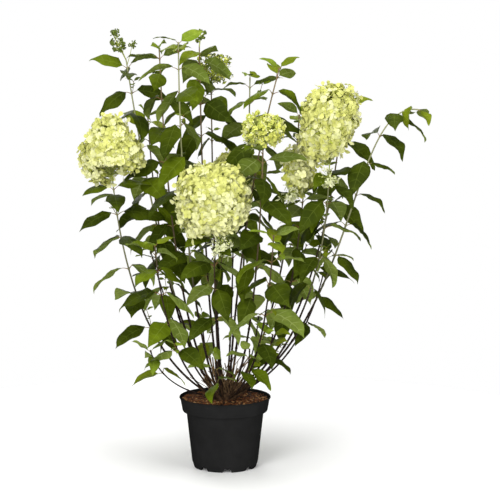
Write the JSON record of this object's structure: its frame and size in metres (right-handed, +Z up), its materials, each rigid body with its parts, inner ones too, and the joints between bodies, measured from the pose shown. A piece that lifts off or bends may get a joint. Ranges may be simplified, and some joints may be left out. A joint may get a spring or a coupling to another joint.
{
  "type": "panicle hydrangea in a nursery pot",
  "caption": "Multi-stemmed panicle hydrangea with opposite toothed leaves and cone-shaped lime-cream flower heads, standing in a round black nursery pot.",
  "frame": {"origin": "centre of the pot's flat underside, on the surface that the pot stands on", "axes": "+Z up along the pot's axis; +X to the viewer's right and -Y towards the viewer, as the plant is pictured"},
  "size_m": [0.8659, 0.6871, 1.1044],
  "materials": {
    "moulded_plastic": "matt black moulded polypropylene with a faint sheen",
    "potting_mix": "moist brown bark and peat crumbs",
    "old_wood": "rough grey-brown flaking bark",
    "cane_bark": "dark purple-brown bark with pale pores",
    "leaves": "satin green leaf with sunken veins",
    "petals": "matt lime-cream sepals",
    "green_buds": "matt yellow-green buds and unopened sepals"
  },
  "bodies": {
    "root": {"buds_back": "green_buds", "buds_left": "green_buds", "buds_mid": "green_buds", "cane_back_centre": "cane_bark", "cane_back_left": "cane_bark", "cane_back_mid": "cane_bark", "cane_back_right": "cane_bark", "cane_front_centre": "cane_bark", "cane_front_right": "cane_bark", "cane_left_inner": "cane_bark", "cane_left_outer": "cane_bark", "cane_left_tall": "cane_bark", "cane_mid_back": "cane_bark", "cane_mid_left": "cane_bark", "cane_mid_right": "cane_bark", "cane_right_arch": "cane_bark", "cane_right_back": "cane_bark", "cane_right_bloom": "cane_bark", "cane_right_inner": "cane_bark", "foliage_back_centre": "leaves", "foliage_back_left": "leaves", "foliage_back_low": "leaves", "foliage_back_mid": "leaves", "foliage_back_right": "leaves", "foliage_base_back": "leaves", "foliage_base_back_right": "leaves", "foliage_base_front": "leaves", "foliage_base_front_right": "leaves", "foliage_base_left": "leaves", "foliage_base_right": "leaves", "foliage_front_centre": "leaves", "foliage_front_left": "leaves", "foliage_front_right": "leaves", "foliage_front_side": "leaves", "foliage_left_inner": "leaves", "foliage_left_low": "leaves", "foliage_left_outer": "leaves", "foliage_left_tall": "leaves", "foliage_mid_back": "leaves", "foliage_mid_left": "leaves", "foliage_mid_right": "leaves", "foliage_right_arch": "leaves", "foliage_right_back": "leaves", "foliage_right_bloom": "leaves", "foliage_right_inner": "leaves", "foliage_right_low": "leaves", "panicle_back": "petals", "panicle_centre": "petals", "panicle_inner": "petals", "panicle_left": "petals", "panicle_right": "petals", "panicle_young": "petals", "pot": "moulded_plastic", "potting_mix": "potting_mix", "woody_crown": "old_wood"}
  },
  "joints": []
}
